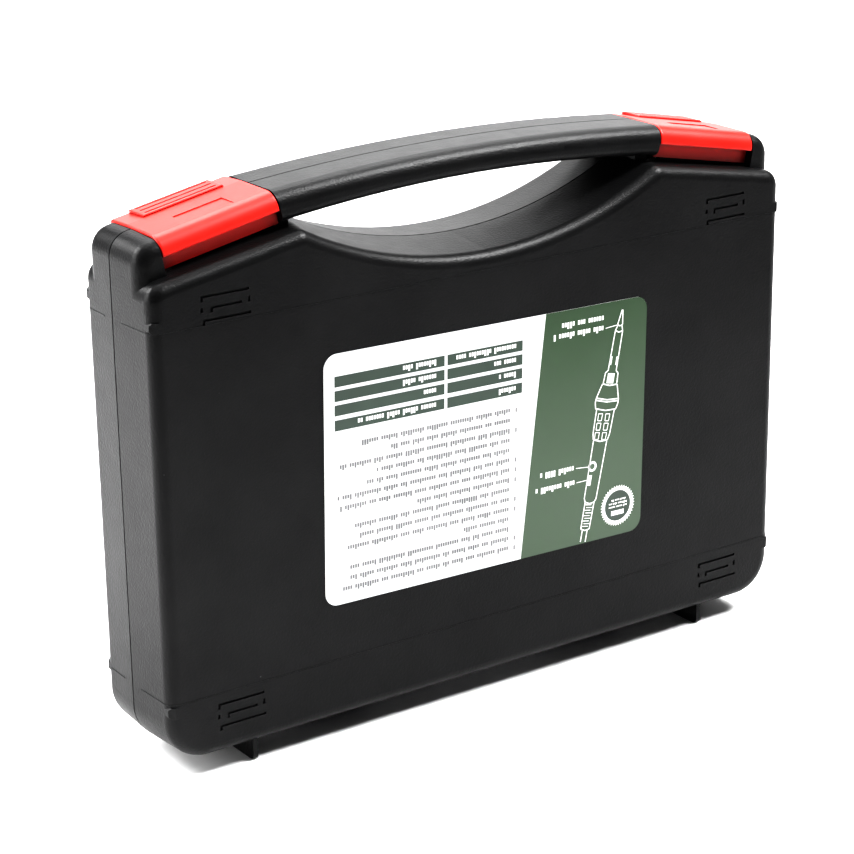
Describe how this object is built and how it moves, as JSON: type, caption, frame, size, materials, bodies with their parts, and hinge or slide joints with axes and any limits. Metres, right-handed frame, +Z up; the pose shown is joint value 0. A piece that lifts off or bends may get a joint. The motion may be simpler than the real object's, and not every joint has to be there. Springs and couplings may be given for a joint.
{
  "type": "soldering iron kit case",
  "caption": "Upright black carry case with arched handle and red corner latches; its foam tray holds a soldering iron, solder sucker, tweezers and spare tips.",
  "frame": {"origin": "centre of the footprint, on the surface that the case stands on", "axes": "+X across the case to the right as seen from the labelled lid, -Y towards the lid, +Z up"},
  "size_m": [0.235, 0.0397, 0.1759],
  "materials": {
    "case_black": "moulded, fine texture",
    "latch_red": "moulded, satin gloss",
    "pin_steel": "drawn",
    "label_paper": "printed, laminated",
    "foam_grey": "open-cell foam",
    "tip_iron": "plated",
    "sleeve_steel": "brushed",
    "heater_ceramic": "fired",
    "iron_body": "moulded",
    "iron_nut": "moulded, fluted",
    "grip_silicone": "silicone",
    "board_green": "laminate",
    "knob_black": "moulded",
    "switch_red": "moulded",
    "pump_blue": "anodised",
    "pump_black": "moulded",
    "nozzle_white": "fluoropolymer",
    "spring_steel": "drawn",
    "tweezer_steel": "brushed",
    "tube_clear": "clear",
    "cap_blue": "moulded",
    "solder_tin": "drawn wire",
    "stand_zinc": "zinc plated"
  },
  "bodies": {
    "base": {"base_shell": "case_black", "hinge_pins": "pin_steel", "latch_pins": "pin_steel", "tray_foam": "foam_grey", "tray_foam_left": "foam_grey", "tray_foam_right": "foam_grey", "iron_tip": "tip_iron", "tip_sleeve": "sleeve_steel", "heater": "heater_ceramic", "heater_collar": "sleeve_steel", "sleeve_nut": "iron_nut", "handle_body": "iron_body", "silicone_grip": "grip_silicone", "circuit_board": "board_green", "cord_gland": "iron_nut", "pump_barrel": "pump_blue", "pump_nose": "pump_black", "pump_nozzle": "nozzle_white", "pump_spring": "spring_steel", "pump_collar": "pump_black", "solder_tube": "tube_clear", "solder_cap": "cap_blue", "solder_coil": "solder_tin", "tweezers": "tweezer_steel", "tip_set": "tip_iron", "folded_stand": "stand_zinc"},
    "lid": {"lid_shell": "case_black", "label": "label_paper", "lid_foam": "foam_grey"},
    "latch_left_body": {"latch_left": "latch_red"},
    "latch_right_body": {"latch_right": "latch_red"},
    "temp_knob_body": {"temp_knob": "knob_black"},
    "power_switch_body": {"power_switch": "switch_red"},
    "plunger": {"pump_piston": "pump_black", "pump_rod": "pin_steel", "pump_knob": "pump_black"},
    "pump_button_body": {"pump_button": "switch_red"}
  },
  "joints": [
    {"name": "lid_hinge", "type": "hinge", "parent": "base", "child": "lid", "pos_m": [0, 0.00198, 0.0028], "axis": [1, 0, 0], "range_deg": [0, 180]},
    {"name": "latch_left_hinge", "type": "hinge", "parent": "base", "child": "latch_left_body", "pos_m": [-0.09001, 0.01238, 0.16513], "axis": [-0.9816, 0, -0.1908], "range_deg": [0, 100]},
    {"name": "latch_right_hinge", "type": "hinge", "parent": "base", "child": "latch_right_body", "pos_m": [0.09001, 0.01238, 0.16513], "axis": [-0.9816, 0, 0.1908], "range_deg": [0, 100]},
    {"name": "temp_knob_turn", "type": "hinge", "parent": "base", "child": "temp_knob_body", "pos_m": [0.052, 0.00447, 0.118], "axis": [0, 1, 0], "range_deg": [0, 270]},
    {"name": "power_switch_slide", "type": "slide", "parent": "base", "child": "power_switch_body", "axis": [1, 0, 0], "range_m": [0, 0.0038]},
    {"name": "plunger_slide", "type": "slide", "parent": "base", "child": "plunger", "axis": [-1, 0, 0], "range_m": [0, 0.04], "stiffness_N_per_m": 150, "springref_m": -0.01, "deforming": ["pump_spring"]},
    {"name": "pump_button_press", "type": "slide", "parent": "base", "child": "pump_button_body", "axis": [0, 1, 0], "range_m": [0, 0.0015], "stiffness_N_per_m": 300, "springref_m": -0.001}
  ]
}
